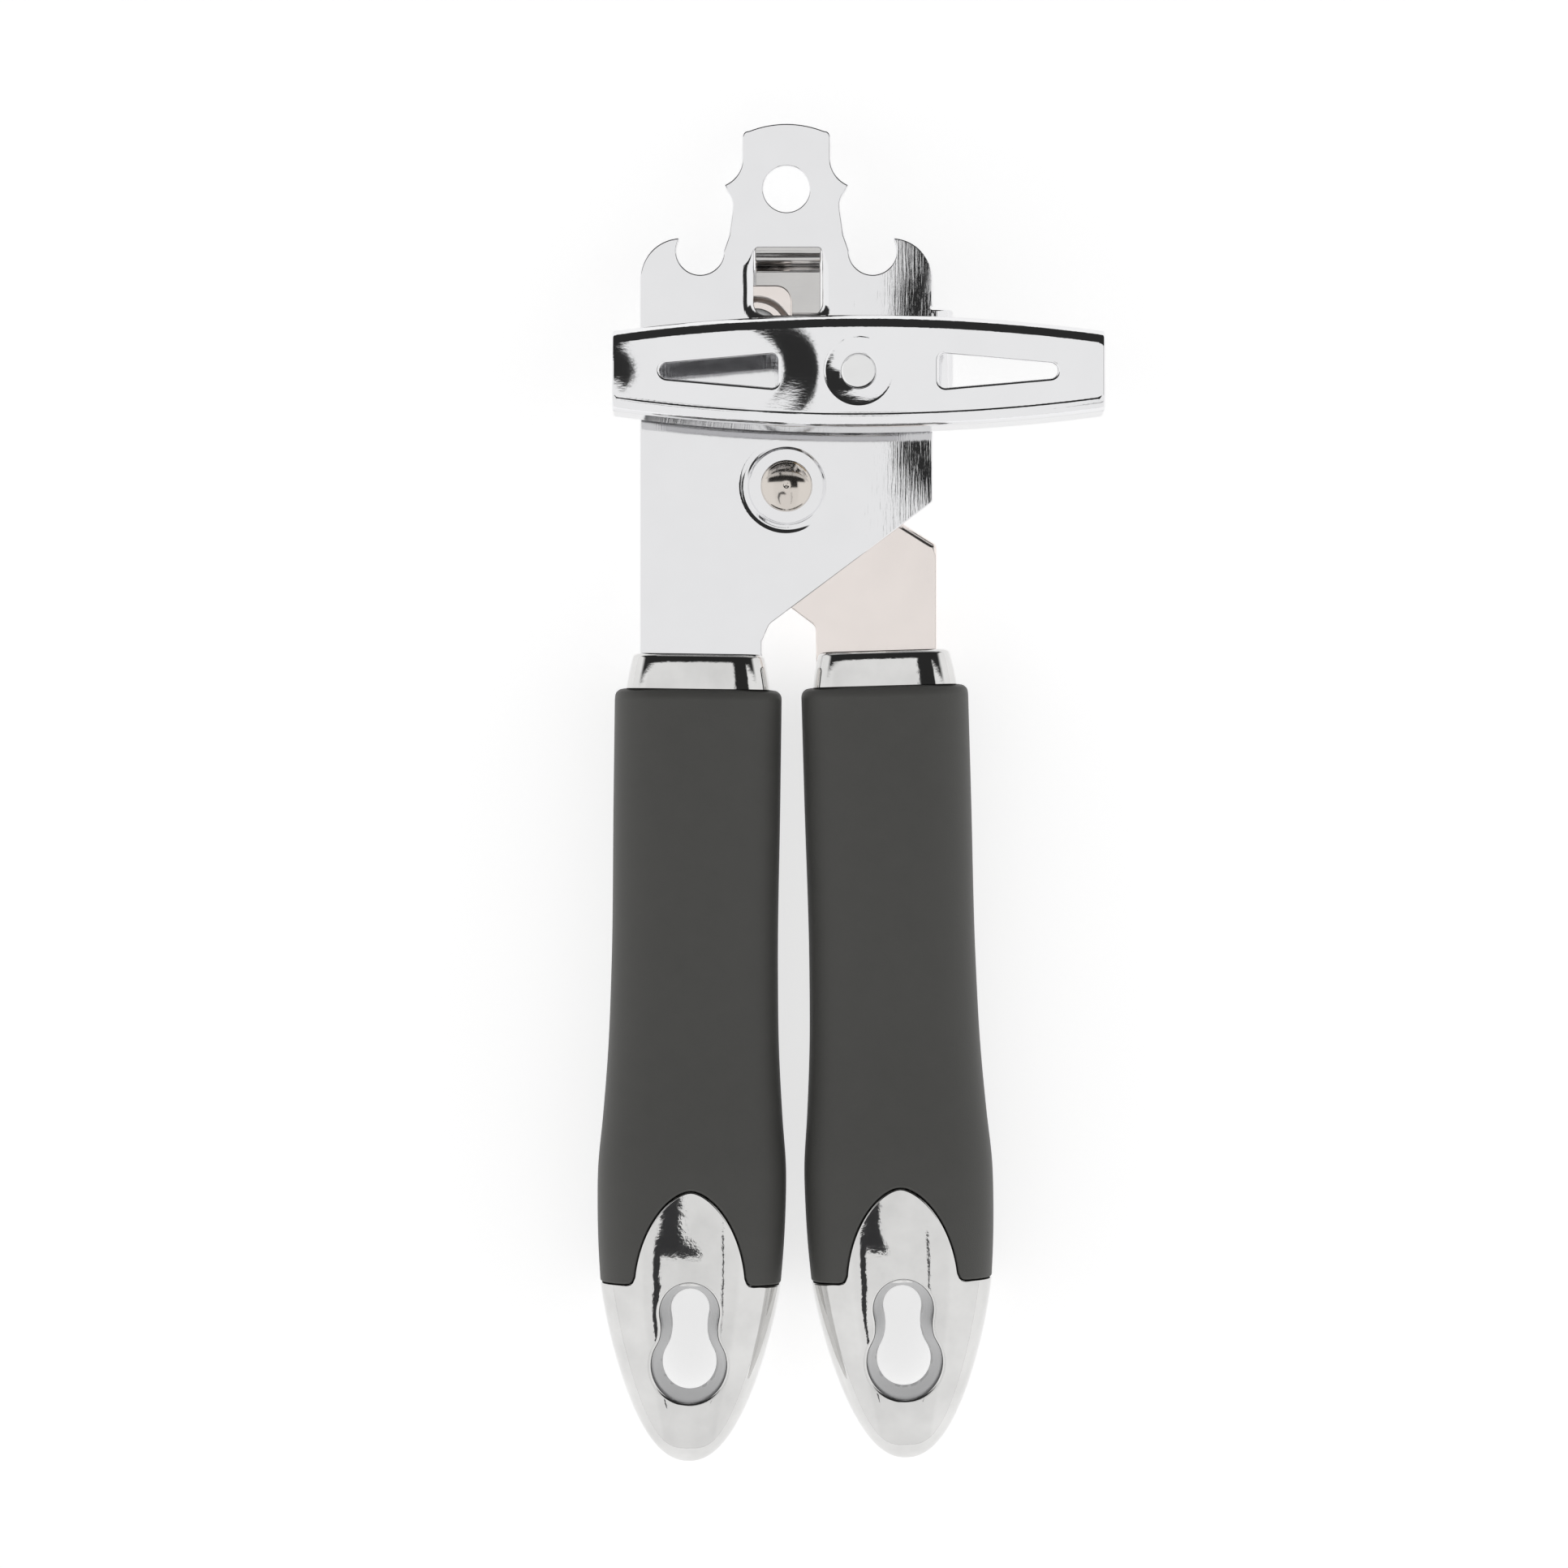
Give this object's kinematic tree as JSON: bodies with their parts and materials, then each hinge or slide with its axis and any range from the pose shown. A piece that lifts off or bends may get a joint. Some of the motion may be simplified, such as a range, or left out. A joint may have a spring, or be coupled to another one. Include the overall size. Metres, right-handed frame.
{
  "type": "manual can opener",
  "caption": "Hand-held can opener with a butterfly turning key, a plate head with bottle opener notches and a hanging hole, and two soft grips with bright ferrules and end caps.",
  "frame": {"origin": "centre of the footprint, on the surface the opener lies on, key upwards", "axes": "+Y runs from the handles to the head, +Z from the cutting wheel to the key, +X to the side of the can guide lip"},
  "size_m": [0.0766, 0.2048, 0.032],
  "materials": {
    "bright_plate": "bright nickel-chrome plate on sheet steel, faint rolling lines",
    "satin_plate": "satin plated sheet steel, slightly warm",
    "nickel_rivet": "warm bright nickel, domed head",
    "spring_steel": "dark spring steel",
    "plain_steel": "turned steel, lightly plated",
    "bright_key": "bright nickel-chrome plate on folded sheet steel",
    "bronze_bush": "plain sintered bronze",
    "hard_steel": "hardened steel, satin",
    "cutting_steel": "ground carbon steel with a polished bevel",
    "core_nylon": "black moulded nylon",
    "soft_grip": "warm dark grey soft-touch rubber, fine matte texture",
    "bright_trim": "bright chrome on metal trim"
  },
  "bodies": {
    "front_lever": {"front_plate": "bright_plate", "pivot_rivet": "nickel_rivet", "pivot_wave_washer": "spring_steel", "pivot_rear_washer": "plain_steel", "shaft_bushing": "bronze_bush", "left_core_front": "core_nylon", "left_core_rear": "core_nylon", "left_grip": "soft_grip", "left_ferrule": "bright_trim", "left_end_cap": "bright_trim"},
    "rear_lever": {"rear_plate": "satin_plate", "cutter_screw": "plain_steel", "cutter_spacer": "plain_steel", "cutter_wave_washer": "spring_steel", "cutter_nut": "plain_steel", "right_core_front": "core_nylon", "right_core_rear": "core_nylon", "right_grip": "soft_grip", "right_ferrule": "bright_trim", "right_end_cap": "bright_trim"},
    "key_drive": {"key": "bright_key", "key_shaft": "plain_steel", "thrust_washer": "plain_steel", "feed_wheel": "hard_steel", "drive_nut": "plain_steel"},
    "cutter": {"cutter_wheel": "cutting_steel"}
  },
  "joints": [
    {"name": "handle_hinge", "type": "hinge", "parent": "front_lever", "child": "rear_lever", "pos_m": [-0.0094, 0.04695, 0.00988], "axis": [0, 0, 1], "range_deg": [0, 42]},
    {"name": "key_turn", "type": "hinge", "parent": "front_lever", "child": "key_drive", "pos_m": [0.0014, 0.06325, 0.00988], "axis": [0, 0, 1], "continuous": true},
    {"name": "cutter_spin", "type": "hinge", "parent": "rear_lever", "child": "cutter", "pos_m": [-0.014, 0.07065, 0.00417], "axis": [0, 0, 1], "continuous": true}
  ]
}
